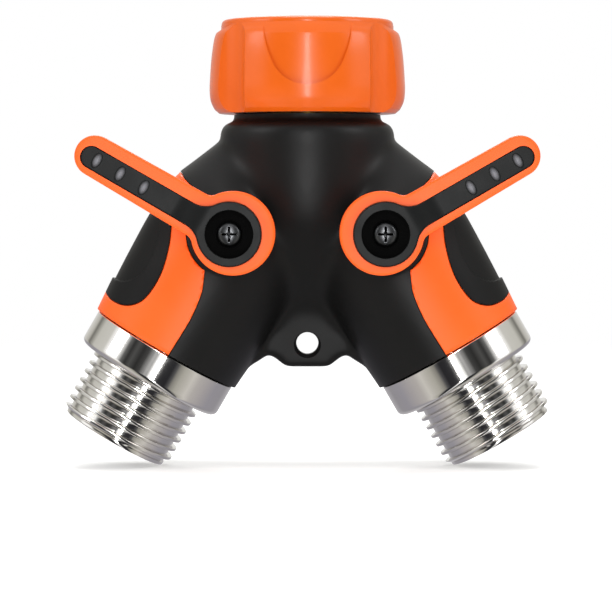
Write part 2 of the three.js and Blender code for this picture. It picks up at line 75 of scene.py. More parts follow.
# %% Sizes and places
MM = 0.001
SIDES = {"left": -1, "right": 1}
joint_places = {joint["name"]: Vector(joint["pos_m"]) for joint in frame["joints"]}
ball_centre = joint_places["left_lever_turn"]
LEG_TILT = math.radians(30)
leg_frame = Matrix.Translation(ball_centre) @ Matrix.Rotation(LEG_TILT, 4, "Y")
nut_low, nut_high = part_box("nut_grip")
NUT_TOP, NUT_BOTTOM = nut_high.z / MM, nut_low.z / MM
SHELL_END = 29.9  # distance down the leg to the end of the black shell
FIT = 0.22  # the hairline gap between two mouldings, in millimetres
print("ball centre", ball_centre, "nut from", NUT_BOTTOM, "to", NUT_TOP)

# %% [markdown]
# Operators act on whatever is selected, so each step first selects just the piece it works on. These
# are the few habits the whole lesson uses: pick one object, run something in edit mode, add a
# modifier and apply it, cut or join two solids, and spin a profile into a turned piece.


# %% Working habits
def only(piece):
    bpy.ops.object.select_all(action="DESELECT")
    piece.select_set(True)
    bpy.context.view_layer.objects.active = piece


def tidy_faces(piece, merge=0.00001):
    """Merges doubled points and turns every face outwards."""
    only(piece)
    bpy.ops.object.mode_set(mode="EDIT")
    bpy.ops.mesh.select_all(action="SELECT")
    bpy.ops.mesh.remove_doubles(threshold=merge)
    bpy.ops.mesh.normals_make_consistent(inside=False)
    bpy.ops.object.mode_set(mode="OBJECT")
    return piece


def finish_with(piece, kind, **settings):
    """Adds one modifier, sets it and applies it."""
    only(piece)
    modifier = piece.modifiers.new(kind.title(), kind)
    for name, value in settings.items():
        setattr(modifier, name, value)
    bpy.ops.object.modifier_apply(modifier=modifier.name)
    return piece


def combine(piece, other, operation):
    """DIFFERENCE, UNION or INTERSECT with another solid, which is used up."""
    finish_with(piece, "BOOLEAN", object=other, operation=operation, solver="EXACT")
    bpy.data.objects.remove(other)
    return piece


def round_edges(piece, width, segments=2, angle=35):
    """Breaks the sharp edges, as a mould or a lathe does."""
    finish_with(piece, "BEVEL", width=width * MM, segments=segments, limit_method="ANGLE",
                angle_limit=math.radians(angle), use_clamp_overlap=True, miter_outer="MITER_ARC")
    return piece


def smooth(piece, angle=35):
    only(piece)
    bpy.ops.object.shade_smooth_by_angle(angle=math.radians(angle), keep_sharp_edges=False)
    return piece


def turn(name, profile, steps=128, closed=True):
    """Spins (radius, height) points, in mm, about Z. An open profile starts and ends on the axis."""
    points = [(radius * MM, 0, height * MM) for radius, height in profile]
    links = [(i, i + 1) for i in range(len(points) - 1)]
    if closed:
        links.append((len(points) - 1, 0))
    mesh = bpy.data.meshes.new(name)
    mesh.from_pydata(points, links, [])
    piece = bpy.data.objects.new(name, mesh)
    bpy.context.scene.collection.objects.link(piece)
    only(piece)
    bpy.ops.object.mode_set(mode="EDIT")
    bpy.ops.mesh.select_all(action="SELECT")
    bpy.ops.mesh.spin(steps=steps, angle=2 * math.pi, center=(0, 0, 0), axis=(0, 0, 1))
    bpy.ops.object.mode_set(mode="OBJECT")
    return tidy_faces(piece)


def slab(name, outline, back, front):
    """An outline of (x, z) points in millimetres, filled and extruded along Y from back to front."""
    points = [(x * MM, back * MM, z * MM) for x, z in outline]
    mesh = bpy.data.meshes.new(name)
    mesh.from_pydata(points, [], [tuple(range(len(points)))])
    piece = bpy.data.objects.new(name, mesh)
    bpy.context.scene.collection.objects.link(piece)
    only(piece)
    bpy.ops.object.mode_set(mode="EDIT")
    bpy.ops.mesh.select_all(action="SELECT")
    bpy.ops.mesh.extrude_region_move(TRANSFORM_OT_translate={"value": (0, (front - back) * MM, 0)})
    bpy.ops.object.mode_set(mode="OBJECT")
    return tidy_faces(piece)


def rectangle(half_width, half_height):
    """The four corners of an outline centred on the axis."""
    return [(-half_width, -half_height), (half_width, -half_height),
            (half_width, half_height), (-half_width, half_height)]


def rod(name, radius, back, front, centre=(0, 0), vertices=64):
    """A cylinder along Y, in millimetres."""
    bpy.ops.object.select_all(action="DESELECT")
    bpy.ops.mesh.primitive_cylinder_add(
        vertices=vertices, radius=radius * MM, depth=abs(front - back) * MM,
        location=(centre[0] * MM, (front + back) / 2 * MM, centre[1] * MM),
        rotation=(math.pi / 2, 0, 0))
    piece = bpy.context.active_object
    piece.name = name
    bpy.ops.object.transform_apply(location=True, rotation=True, scale=True)
    return piece


def put_at(piece, matrix):
    """Moves a piece and stores the move in its mesh, so that its object stays at the origin."""
    only(piece)
    piece.matrix_world = matrix
    bpy.ops.object.transform_apply(location=True, rotation=True, scale=True)
    return piece


def copy_of(piece, name):
    only(piece)
    bpy.ops.object.duplicate()
    twin = bpy.context.active_object
    twin.name = name
    return twin


MIRROR = Matrix.Scale(-1, 4, Vector((1, 0, 0)))


def both_sides(piece, name):
    """The piece drawn in the leg's frame, as a left one and a mirrored right one."""
    pieces = {}
    for word, side in SIDES.items():
        twin = copy_of(piece, f"{word}_{name}")
        put_at(twin, leg_frame if side < 0 else MIRROR @ leg_frame)
        pieces[word] = tidy_faces(twin)
    bpy.data.objects.remove(piece)
    return pieces


# %% [markdown]
# The real thing is a soft black elastomer moulded over a metal Y, so its shape is all blends. It
# could be drawn as one subdivision cage, but a fork with a shoulder, two valve seats and a web is
# awkward to lay out in quads. Instead the simple turned bodies are pushed into each other, remeshed
# into one skin and relaxed, which blends every inner corner as a mould maker's fillets do. The
# clean ends, the holes and the pockets are cut afterwards.
#
# First, the profile of a leg: the radius of the shell at distances along it. A smooth curve runs
# through a few rings.

# %% The leg's own surface
LEG_RINGS = [(-17, 12.4), (-12.4, 14.4), (-9, 15.8), (-6.2, 17), (0, 18.4), (4.8, 18.9),
             (12.4, 18.8), (22, 18.4), (29.9, 17.85), (34, 17.6)]


def leg_radius(along):
    """Radius of the shell at a distance down the leg, on a smooth curve through the rings."""
    rings = LEG_RINGS
    along = min(max(along, rings[0][0]), rings[-1][0])
    i = max(k for k in range(len(rings) - 1) if rings[k][0] <= along)
    (a, low), (b, high) = rings[i], rings[i + 1]
    before, after = rings[max(i - 1, 0)], rings[min(i + 2, len(rings) - 1)]
    slope_a = (high - before[1]) / (b - before[0])
    slope_b = (after[1] - low) / (after[0] - a)
    t = (along - a) / (b - a)
    span = b - a
    return ((2 * t**3 - 3 * t**2 + 1) * low + (t**3 - 2 * t**2 + t) * span * slope_a
            + (3 * t**2 - 2 * t**3) * high + (t**3 - t**2) * span * slope_b)


def leg_body(name, inset, start=-17, end=SHELL_END, step=1.0, steps=160):
    """The solid inside the leg's surface, moved inwards by inset."""
    count = round((end - start) / step)
    stations = [start + (end - start) * k / count for k in range(count + 1)]
    side = [(leg_radius(s) - inset, -s) for s in stations]
    return turn(name, [(0, -start), *side, (0, -end)], steps, closed=False)


print("leg radius at the ball", round(leg_radius(0), 2))

# %% [markdown]
# The web in the fork carries the hanging tab. It is thick where it joins the legs and tapers down to
# a flat plate round the hole, so it is an extruded outline whose two faces are sliced off at a
# slant with bisect.

# %% The web and the hanging tab
TAB_HOLE_Z, TAB_HOLE_R, TAB_R, TAB_BOTTOM_Z, TAB_HALF = -60.3, 2.5, 9.4, -65.5, 2.5
TAB_DRAFT = math.radians(8)  # the tab thins towards its lower edge


def arc(cx, cz, radius, start, end, count=12):
    """Points on a circle between two angles in degrees."""
    turns = [math.radians(start + (end - start) * k / count) for k in range(count + 1)]
    return [(cx + radius * math.cos(a), cz + radius * math.sin(a)) for a in turns]


def slice_off(piece, point, normal):
    """Removes what lies on the normal's side of a plane and closes the cut."""
    only(piece)
    bpy.ops.object.mode_set(mode="EDIT")
    bpy.ops.mesh.select_all(action="SELECT")
    bpy.ops.mesh.bisect(plane_co=[v * MM for v in point], plane_no=normal,
                        clear_outer=True, use_fill=True)
    bpy.ops.object.mode_set(mode="OBJECT")
    return piece


def on_tab_face(tool, side):
    """Stands a tool made along +Z on the tab's front (-1) or back (1) face, leaning with its draft."""
    lean = Matrix.Rotation(-side * (math.pi / 2 + TAB_DRAFT), 4, "X")
    return put_at(tool, Matrix.Translation((0, 0, TAB_HOLE_Z * MM)) @ lean)


def fork_web():
    right = [(4.2, TAB_BOTTOM_Z), (5.1, -65.2), (7.2, -63.5), (8.2, -62.95), (9.4, -63.0), (10.6, -63.9),
             (14, -66), (17, -62), (15, -50), (0, -34)]
    outline = right + [(-x, z) for x, z in reversed(right[:-1])]
    web = slab("web", outline, 12, -12)
    for side in (-1, 1):
        slice_off(web, (0, 9.5 * side, -46), (0, 0.93 * side, -0.37))
    for side in (-1, 1):
        dish = turn("dish", [(0, TAB_HALF), (TAB_R, TAB_HALF), (TAB_R + 24, 14), (0, 14)], 96, closed=False)
        combine(web, on_tab_face(dish, side), "DIFFERENCE")
    return web


web = fork_web()
print("web faces", len(web.data.polygons))

# %% [markdown]
# Now the blank: two legs, two round seats for the lever hubs, the shoulder barrel and the web, all
# joined into one object. The voxel remesh melts them into a single skin and Smooth relaxes it.

# %% The blank of the shell
VOXEL = 0.45
FORK_BLEND = 150  # passes of extra relaxing where the legs run into the barrel
SMOOTHING_LOSS = 0.2  # how far the relaxing pulls the skin in, given back afterwards
LEVER_SEAT_R, LEVER_SEAT_Y = 8.6, -19.9


def shoulder_barrel():
    neck_r, shoulder_r = 16.3, 19.4
    profile = [(0, NUT_BOTTOM + 3), (neck_r, NUT_BOTTOM + 3), (neck_r, -10.6), (17.0, -10.7),
               *arc(16.8, -13.3, 2.6, 80, 0, 6), (shoulder_r, -15.6), (19.1, -20), (18.9, -27),
               (17.6, -33), (14.3, -39), (10.3, -45), (6, -50), (2, -53), (0, -53)]
    return turn("barrel", profile, 128, closed=False)


def shell_blank():
    leg = leg_body("leg", 0, end=34)
    combine(leg, rod("seat", LEVER_SEAT_R, -8, LEVER_SEAT_Y), "UNION")
    parts = list(both_sides(leg, "leg").values()) + [shoulder_barrel(), web]
    bpy.ops.object.select_all(action="DESELECT")
    for part in parts:
        part.select_set(True)
    bpy.context.view_layer.objects.active = parts[0]
    bpy.ops.object.join()
    blank = bpy.context.active_object
    blank.name = "body_shell_skin"
    finish_with(blank, "REMESH", mode="VOXEL", voxel_size=VOXEL * MM, adaptivity=0)
    finish_with(blank, "SMOOTH", factor=0.5, iterations=22)
    fork = blank.vertex_groups.new(name="fork")
    for point in blank.data.vertices:
        x, y, z = (value / MM for value in point.co)
        from_seat = math.hypot(abs(x) + ball_centre.x / MM, z - ball_centre.z / MM)
        off_seat = min(max((from_seat - LEVER_SEAT_R - 1) / 2.5, 0), 1) if y < 0 else 1
        below_neck = min(max((-15 - z) / 6, 0), 1)
        above_tab = min(max((z + 58) / 8, 0), 1)
        share = below_neck * min(max((30 - abs(x)) / 8, 0), 1) * above_tab
        fork.add([point.index], share * off_seat, "REPLACE")
    finish_with(blank, "SMOOTH", factor=0.9, iterations=FORK_BLEND, vertex_group="fork")
    finish_with(blank, "DISPLACE", strength=SMOOTHING_LOSS * MM, mid_level=0)
    return blank


shell = shell_blank()
print("shell faces", len(shell.data.polygons))

# %% [markdown]
# The grip panel and the thumb pad are inlaid, flush with the leg. Each is a piece of the leg's own
# surface, given a thickness and trimmed to an outline by a boolean, so it follows the leg exactly.
# The same outlines, a hair larger, cut the pockets they sit in.

# %% Outlines of the panel and the pad
OUTSIDE = -26  # beyond the outer side of the leg


def curve_through(points, per_span=6):
    """Points on a smooth curve through the given ones."""
    ends = [points[0], *points, points[-1]]
    out = []
    for i in range(1, len(ends) - 2):
        p0, p1, p2, p3 = (Vector(p) for p in ends[i - 1:i + 3])
        for k in range(per_span):
            t = k / per_span
            out.append(tuple(0.5 * (2 * p1 + (p2 - p0) * t + (2 * p0 - 5 * p1 + 4 * p2 - p3) * t**2
                                    + (3 * p1 - p0 - 3 * p2 + p3) * t**3)))
    return out + [points[-1]]


def grown(outline, amount):
    """The outline moved outwards all round by amount."""
    count = len(outline)
    area = sum(outline[i - 1][0] * outline[i][1] - outline[i][0] * outline[i - 1][1] for i in range(count))
    sign = 1 if area > 0 else -1
    moved = []
    for i in range(count):
        before = (Vector(outline[i]) - Vector(outline[i - 1])).normalized()
        after = (Vector(outline[(i + 1) % count]) - Vector(outline[i])).normalized()
        normals = [Vector((d.y, -d.x)) for d in (before, after)]
        middle = (normals[0] + normals[1]).normalized()
        stretch = sign * amount / max(middle.dot(normals[1]), 0.5)
        moved.append(tuple(Vector(outline[i]) + middle * stretch))
    return moved


def panel_outline():
    relief = arc(0, 0, 9.8, 156.3, 265.1, 30)
    flank = curve_through([relief[-1], (0.1, -11.9), (1.1, -14.7), (1.75, -19.8), (1.75, -24.5),
                           (1.45, -SHELL_END - 2)])
    top = curve_through([(OUTSIDE, 7.6), (-17.1, 6.1), (-14.7, 5.2), relief[0]], 4)
    return top[:-1] + relief + flank[1:] + [(OUTSIDE, -SHELL_END - 2)]


def pad_outline():
    edge = curve_through([(OUTSIDE, 0.6), (-16.2, 0.2), (-14, -1.2), (-12.4, -4.8), (-10.4, -9.2),
                          (-9.0, -14.7), (-8.9, -19.4), (-9.8, -22.9), (-12.2, -25.3), (-15.3, -26.1),
                          (-17.9, -25.7), (OUTSIDE, -24.2)])
    return edge


def dish_outline():
    """The shallow hollow that the thumb rests in, inside the pad's edge."""
    return curve_through([(OUTSIDE, -3.5), (-16.5, -3.7), (-14.9, -5.5), (-13.4, -9.4), (-12.5, -14.0),
                          (-12.9, -17.9), (-14.6, -20.6), (-17.0, -21.9), (-19.5, -22.2), (OUTSIDE, -22.2)])


print("panel outline points", len(panel_outline()))

# %% Panel, pad and their pockets
PANEL_DEEP, PAD_DEEP, DISH_DEEP, THROUGH = 2.2, 1.2, 0.6, 26


def through_slab(name, outline):
    return slab(name, outline, THROUGH, -THROUGH)


def side_panels():
    panel = leg_body("panel", 0, start=-10)
    combine(panel, leg_body("inside", PANEL_DEEP, start=-12, end=34), "DIFFERENCE")
    combine(panel, through_slab("trim", panel_outline()), "INTERSECT")
    pocket = through_slab("pad_pocket", grown(pad_outline(), FIT))
    combine(pocket, leg_body("floor", PAD_DEEP + 0.1, start=-12, end=34), "DIFFERENCE")
    combine(panel, pocket, "DIFFERENCE")
    round_edges(panel, 0.22)
    return both_sides(smooth(panel, 30), "side_panel_face")


def thumb_pads():
    pad = leg_body("pad", 0, start=-10, step=0.5, steps=320)
    combine(pad, leg_body("inside", PAD_DEEP, start=-12, end=34), "DIFFERENCE")
    combine(pad, through_slab("trim", pad_outline()), "INTERSECT")
    dish = through_slab("dish", dish_outline())
    combine(dish, leg_body("dish_floor", DISH_DEEP, start=-12, end=34, step=0.5, steps=320), "DIFFERENCE")
    combine(pad, dish, "DIFFERENCE")
    round_edges(pad, 0.18, 3)
    return both_sides(smooth(pad, 30), "thumb_pad_face")


panels = side_panels()
pads = thumb_pads()
print("panel faces", len(panels["left"].data.polygons), "pad faces", len(pads["left"].data.polygons))

# %% [markdown]
# The shell is finished by cutting it as the mould and its core do: flat ends at the neck and at both
# collars, the pockets for the panels, the stem openings under the levers, and the hole in the tab.

# %% Cuts in the shell
NECK_TOP = NUT_BOTTOM - 0.3


def cut_shell():
    pocket = through_slab("pocket", grown(panel_outline(), FIT))
    combine(pocket, leg_body("floor", PANEL_DEEP + 0.15, start=-14, end=36), "DIFFERENCE")
    combine(pocket, rod("seat_room", LEVER_SEAT_R + 0.05, 0, -THROUGH), "DIFFERENCE")
    bore = turn("bore", [(0, 12), (11.4, 12), (14.4, 2), (14.4, -40), (0, -40)], 96, closed=False)
    combine(bore, rod("stem_hole", 3.7, 0, -THROUGH), "UNION")
    end_block = turn("end_block", [(0, -SHELL_END), (30, -SHELL_END), (30, -40), (0, -40)], 64,
                     closed=False)
    for tool in (pocket, bore, end_block):
        for twin in both_sides(tool, tool.name).values():
            combine(shell, twin, "DIFFERENCE")
    top_block = turn("top_block", [(0, NECK_TOP + 10), (30, NECK_TOP + 10), (30, NECK_TOP), (0, NECK_TOP)],
                     64, closed=False)
    combine(shell, top_block, "DIFFERENCE")
    neck_bore = turn("neck_bore", [(0, 5), (14.9, 5), (14.9, -18), (10.3, -22), (0, -22)], 96, closed=False)
    combine(shell, neck_bore, "DIFFERENCE")
    combine(shell, rod("hole", TAB_HOLE_R, 10, -10, (0, TAB_HOLE_Z)), "DIFFERENCE")
    broken, slope = TAB_HALF - 0.35, 1.5
    for side in (-1, 1):
        flare = turn("flare", [(0, broken + slope), (TAB_HOLE_R + slope, broken + slope),
                               (TAB_HOLE_R - 1, broken - 1), (0, broken - 1)], 64, closed=False)
        combine(shell, on_tab_face(flare, side), "DIFFERENCE")
    return smooth(shell, 40)


shell = cut_shell()
print("finished shell faces", len(shell.data.polygons))

# %% [markdown]
# The tap nut is glossy orange plastic moulded round a metal insert. Its hand grip has two wide faces
# with a thumb scoop, two plain grip faces at the sides, and four hollow flutes between them. One
# could push single vertices about, but it is quicker and truer to make it as its mould was made: a
# turned barrel, with the flutes and scoops cut by simple tools and every edge rounded at the end.

# %% The nut's grip
RING_R = 19.4
FLUTE_ANGLES = (51.4, 128.6, 231.4, 308.6)


def grip_barrel():
    flare = curve_through([(19.35, 11.2), (19.9, 10.3), (20.9, 8.6), (21.6, 4.2), (21.97, -0.8),
                           (22.05, -3.6), (21.75, -5.9), (20.9, -7.7)], 5)
    outer = [(14.9, NUT_TOP), (18.3, NUT_TOP), *arc(18.3, NUT_TOP - 1.05, 1.05, 90, 5, 5), *flare,
             (19.9, NUT_BOTTOM + 0.05), (19.6, NUT_BOTTOM), (16.45, NUT_BOTTOM)]
    inner = [(16.45, 11.3), (14.6, 11.3), (14.6, NUT_TOP - 0.3)]
    return turn("nut_grip_moulding", outer + inner, 192)


def flute_tool():
    """A tapered round bar, standing just outside the ring, whose flank hollows the grip."""
    bar_r = 6.4
    top, low = NUT_TOP + 2, NUT_BOTTOM - 2
    bar = turn("flute", [(0, top), (bar_r, top), (bar_r, low), (0, low)], 96, closed=False)
    return put_at(bar, Matrix.Translation(((RING_R + bar_r) * MM, 0, 0)))


def scoop_tool():
    """Everything inside the U-shaped outline that stands proud of a slightly tapering core."""
    half = [(0, -2.72), (2.0, -2.42), (3.7, -1.85), (5.2, -0.95), (6.6, 0.45), (7.7, 2.3), (8.6, 4.6),
            (9.3, 7.25), (9.9, 11.2)]
    right = curve_through(half, 5)
    outline = right + [(-x, z) for x, z in reversed(right[1:])]
    tool = slab("scoop", outline, -14, -30)
    core = turn("core", [(0, 14), (19.5, 14), (19.6, 10.9), (20.7, 8.6), (21.0, 6.5), (21.1, 3.4),
                         (21.25, -3.5), (0, -3.5)], 192, closed=False)
    return combine(tool, core, "DIFFERENCE")


def lobe_top_tool():
    """A slanting block outside the ring that takes the top off a side lobe."""
    block = slab("lobe_top", [(14, 11.9), (17, 10.9), (19.4, 9.9), (23, 8.3), (23, 13), (14, 13)], 11, -11)
    ring = turn("ring", [(0, 14), (RING_R + 0.02, 14), (RING_R + 0.02, 7), (0, 7)], 192, closed=False)
    return combine(block, ring, "DIFFERENCE")


def nut_grip():
    grip = grip_barrel()
    bar = flute_tool()
    for angle in FLUTE_ANGLES:
        tool = copy_of(bar, "flute_cut")
        put_at(tool, Matrix.Rotation(math.radians(angle - 90), 4, "Z"))
        combine(grip, tool, "DIFFERENCE")
    bpy.data.objects.remove(bar)
    scoop = scoop_tool()
    for angle in (0, 180):
        tool = copy_of(scoop, "scoop_cut")
        put_at(tool, Matrix.Rotation(math.radians(angle), 4, "Z"))
        combine(grip, tool, "DIFFERENCE")
    bpy.data.objects.remove(scoop)
    for angle in (0, 180):
        combine(grip, put_at(lobe_top_tool(), Matrix.Rotation(math.radians(angle), 4, "Z")), "DIFFERENCE")
    tidy_faces(grip, 0.00002)
    round_edges(grip, 0.6, 4, 14)
    return smooth(grip, 40)


grip = nut_grip()
print("nut grip faces", len(grip.data.polygons))

# %% [markdown]
# Hose threads are real helices. A Screw modifier sweeps the closed section of one tooth along the
# helix, which gives a clean ridge with rows that follow the thread. Its two open ends are filled, so it
# is a solid that can be joined to a tube as a male thread, or cut out of one as a female thread.

# %% Thread helper
HOSE_PITCH = 25.4 / 11.5
CREST_HALF, TOOTH_ROUND, TOOTH_STEPS = 0.14, 0.24, 80


def thread_tooth(name, foot_r, crest_r, foot_half, low, high):
    """A right-handed helical ridge about Z from foot_r out to crest_r, with a rounded crest."""
    tip = arc(CREST_HALF, 0, TOOTH_ROUND, 70, 20, 3)
    flank = [(foot_half, foot_r - 0.4), (foot_half, foot_r + 0.02)]
    upper = flank + [(x, crest_r - TOOTH_ROUND + z) for x, z in reversed(tip)]
    section = upper + [(-along, radius) for along, radius in reversed(upper)]
    points = [(radius * MM, 0, (low + along) * MM) for along, radius in section]
    mesh = bpy.data.meshes.new(name)
    mesh.from_pydata(points, [(i, (i + 1) % len(points)) for i in range(len(points))], [])
    ridge = bpy.data.objects.new(name, mesh)
    bpy.context.scene.collection.objects.link(ridge)
    turns = (high - low) / HOSE_PITCH
    steps = round(TOOTH_STEPS * turns)
    finish_with(ridge, "SCREW", angle=2 * math.pi * turns, screw_offset=(high - low) * MM, iterations=1,
                steps=steps, render_steps=steps, use_smooth_shade=False)
    only(ridge)
    bpy.ops.object.mode_set(mode="EDIT")
    bpy.ops.mesh.select_all(action="SELECT")
    bpy.ops.mesh.fill_holes(sides=0)
    bpy.ops.object.mode_set(mode="OBJECT")
    return tidy_faces(ridge)


# %% [markdown]
# The outlet fitting is turned from one bar: a polished collar, then the male hose thread with a plain
# lip at its end. The collar's edges are rounded, which is what catches the light.

# %% Outlet fittings
HOSE_MAJOR, HOSE_MINOR = 13.49, 12.15
COLLAR_R, COLLAR_TOP, COLLAR_LOW, OUTLET_END = 17.3, -30.2, -38.0, -53.5
LEAD_IN = 0.5  # from the fitting's end to the start of the tooth, which rises on a cone


def outlet_fitting(word, side):
    straight_low, straight_top = COLLAR_LOW + 1.45, COLLAR_TOP - 0.35
    outer = [(9.6, OUTLET_END + 0.35), (9.95, OUTLET_END), (12.05, OUTLET_END), (12.3, OUTLET_END + 0.1),
             (12.4, OUTLET_END + 0.35), (12.4, OUTLET_END + 0.8), (HOSE_MINOR, OUTLET_END + 1.1),
             (HOSE_MINOR, COLLAR_LOW), (15.9, COLLAR_LOW), *arc(15.9, COLLAR_LOW + 1.4, 1.4, -90, 0, 8),
             (COLLAR_R, straight_low), (COLLAR_R, straight_top),
             *arc(COLLAR_R - 0.3, COLLAR_TOP - 0.3, 0.3, 0, 90, 4)]
    inner = [(14.4, COLLAR_TOP), (14.1, COLLAR_TOP + 0.01), (10.9, COLLAR_TOP + 0.01), (10.9, -9.5),
             (8, -9.5), (8, -34.6), (9.6, -36.2)]
    piece = turn(f"{word}_outlet_fitting_turned", outer + inner, 160)
    tooth = thread_tooth("tooth", HOSE_MINOR, HOSE_MAJOR, 0.66, OUTLET_END + 0.2, COLLAR_LOW + 0.9)
    outside, top, low = HOSE_MAJOR + 1, COLLAR_LOW + 0.4, OUTLET_END + LEAD_IN
    envelope = turn("envelope", [(0, top), (outside, top), (outside, low + 1.8),
                                 (HOSE_MINOR - 0.2, low), (0, low)], 160, closed=False)
    combine(tooth, envelope, "INTERSECT")
    combine(piece, tooth, "UNION")
    tilt = leg_frame if side < 0 else MIRROR @ leg_frame @ MIRROR
    return smooth(put_at(tidy_faces(piece), tilt), 38)


fittings = {word: outlet_fitting(word, side) for word, side in SIDES.items()}
print("fitting faces", len(fittings["left"].data.polygons))

# %% [markdown]
# Inside the nut are the metal insert with the female thread, the flanged tailpiece that the nut turns
# on, and the three-tabbed rubber washer that seals against the tap.

# %% Nut insert, tailpiece and washer
NUT_CREST, NUT_ROOT = 12.5, 13.6


def nut_insert():
    profile = [(NUT_CREST, 1.2), (NUT_CREST, 9.8), (NUT_CREST + 0.1, 9.95), (13.9, 10.9), (16.2, 10.9),
               (16.2, NUT_BOTTOM), (10.9, NUT_BOTTOM), (10.6, NUT_BOTTOM + 0.3), (10.6, -5.6), (13, -5.6),
               (13, -3.3), (14.7, -3.3), (14.7, 0.4), (13.2, 0.5)]
    piece = turn("nut_insert_turned", profile, 128)
    combine(piece, thread_tooth("tooth", NUT_CREST, NUT_ROOT, 0.8, -0.4, 11.6), "DIFFERENCE")
    return smooth(tidy_faces(piece), 38)


def tailpiece():
    profile = [(7.6, -3.8), (8.1, -3.3), *arc(12.0, -3.7, 0.4, 90, 0, 3), *arc(12.0, -4.9, 0.4, 0, -90, 3),
               (10, -5.3), (10, -13.1), (8.7, -13.1), (8.7, -14.9), (10, -14.9), (10, -17.6),
               (9.6, -18), (7.6, -18)]
    return smooth(turn("tailpiece_turned", profile, 128), 32)


def inlet_washer():
    ring = turn("inlet_washer_moulding", [(8.15, 0), (12.5, 0), (12.5, -3), (8.15, -3)], 160)
    for angle in (-90, 30, 150):
        tab = turn("tab", [(0, -0.8), (1.42, -0.8), (1.42, -2.2), (0, -2.2)], 32, closed=False)
        place = Matrix.Rotation(math.radians(angle), 4, "Z") @ Matrix.Translation((12.87 * MM, 0, 0))
        combine(ring, put_at(tab, place), "UNION")
    return smooth(round_edges(ring, 0.25, 3), 40)


insert, tail, washer = nut_insert(), tailpiece(), inlet_washer()
print("insert faces", len(insert.data.polygons), "washer faces", len(washer.data.polygons))

# %% [markdown]
# The lever is a round hub with a straight arm, joined by hollow fillets, and a dark inlay in a pocket
# of the same outline. Both outlines come from one small function, so they stay parallel. The lever's
# rim is broken by a generous bevel. The inlay is not flat: it sweeps up from the arm to a raised
# collar round the screw, so its top is made as a grid that follows a height formula.

# %% Lever outline
LEVER = {"hub": 9.2, "root": 4.9, "tip": 4.5, "reach": 38.8, "fillet": 2.6, "shift": -0.45}
INLAY = {"hub": 7.05, "root": 2.45, "tip": 2.4, "reach": 36.6, "fillet": 5.5, "shift": -0.45}
HUB_X, HUB_Z = 0.6, 0.6  # the lever's hub is not quite round its screw: its rim is wider inside and above
POCKET_FIT = 0.1


def lever_outline(hub, root, tip, reach, fillet, shift):
    """Hub circle at the origin, arm towards -X, fillets between them; shift moves the arm along Z."""
    def fillet_centre(edge):
        height = abs(edge) + fillet
        return -math.sqrt((hub + fillet) ** 2 - height**2), math.copysign(height, edge)

    top_x, top_z = fillet_centre(shift + root)
    low_x, low_z = fillet_centre(shift - root)
    top_angle = math.degrees(math.atan2(top_z, top_x))
    low_angle = math.degrees(math.atan2(low_z, low_x))
    return [*arc(top_x, top_z, fillet, -90, top_angle - 180, 10),
            *arc(0, 0, hub, top_angle, low_angle, 72)[1:],
            *arc(low_x, low_z, fillet, low_angle + 180, 90, 10)[1:],
            *arc(tip - reach, shift, tip, 270, 90, 28)]


def lever():
    outline = [(x + HUB_X, z + HUB_Z) for x, z in lever_outline(**LEVER)]
    arm = slab("lever", outline, -21.4, -26.5)
    hub = rod("hub", LEVER["hub"] - 0.05, -20.2, -23, (HUB_X, HUB_Z), 96)
    for solid in (arm, hub):
        round_edges(solid, 0.6, 4, 50)
    combine(arm, hub, "UNION")
    pocket = slab("pocket", grown(lever_outline(**INLAY), POCKET_FIT), -23.7, -30)
    combine(arm, pocket, "DIFFERENCE")
    combine(arm, slab("drive", rectangle(2.4, 2.4), -18, -25), "DIFFERENCE")
    return both_sides(smooth(arm, 40), "lever_moulding")


levers = lever()
print("lever faces", len(levers["left"].data.polygons))

# %% [markdown]
# Three short ribs across the inlay give the thumb something to push. They could be separate bumps
# joined on, but a rib is only a rise in the face, so the same height formula raises them.

# %% Lever inlay
RECESS_R, COLLAR_HIGH, ARM_FACE, INLAY_BEND = 5.3, -28.19, -26.2, -25.2
SWEEP_START, SWEEP_END = 6.0, 13.5
RIB_PLACES, RIB_HALF_LENGTH, RIB_HALF_WIDTH, RIB_HIGH = (21.1, 27.0, 32.8), 1.9, 1.0, 0.5


def inlay_face(x, z):
    """Height of the face: level round the screw, sweeping down to the arm, with three ribs."""
    sweep = min(max((SWEEP_END + x) / (SWEEP_END - SWEEP_START), 0), 1)
    height = (COLLAR_HIGH - ARM_FACE) * sweep * sweep * (3 - 2 * sweep)
    for place in RIB_PLACES:
        inside = 1 - ((-x - place) / RIB_HALF_WIDTH) ** 2 - ((z - INLAY["shift"]) / RIB_HALF_LENGTH) ** 2
        height -= RIB_HIGH * max(inside, 0) ** 1.5
    return ARM_FACE + height


def lever_inlay():
    inlay = slab("inlay", lever_outline(**INLAY), -24, ARM_FACE)
    finish_with(inlay, "REMESH", mode="VOXEL", voxel_size=0.14 * MM, adaptivity=0)
    finish_with(inlay, "SMOOTH", factor=0.5, iterations=4)
    for point in inlay.data.vertices:
        x, y, z = (value / MM for value in point.co)
        if y < INLAY_BEND:
            share = (INLAY_BEND - y) / (INLAY_BEND - ARM_FACE)
            point.co.y = (INLAY_BEND + (inlay_face(x, z) - INLAY_BEND) * share) * MM
    combine(inlay, rod("recess", RECESS_R, -24.9, -32, vertices=96), "DIFFERENCE")
    combine(inlay, rod("screw_hole", 1.6, -20, -32), "DIFFERENCE")
    return both_sides(smooth(inlay, 40), "lever_inlay_moulding")


inlays = lever_inlay()
print("inlay faces", len(inlays["left"].data.polygons))

# %% [markdown]
# A cross-head screw holds each lever on its stem. Its head is a spun dome, and the cross is two thin
# slabs cut away at right angles.

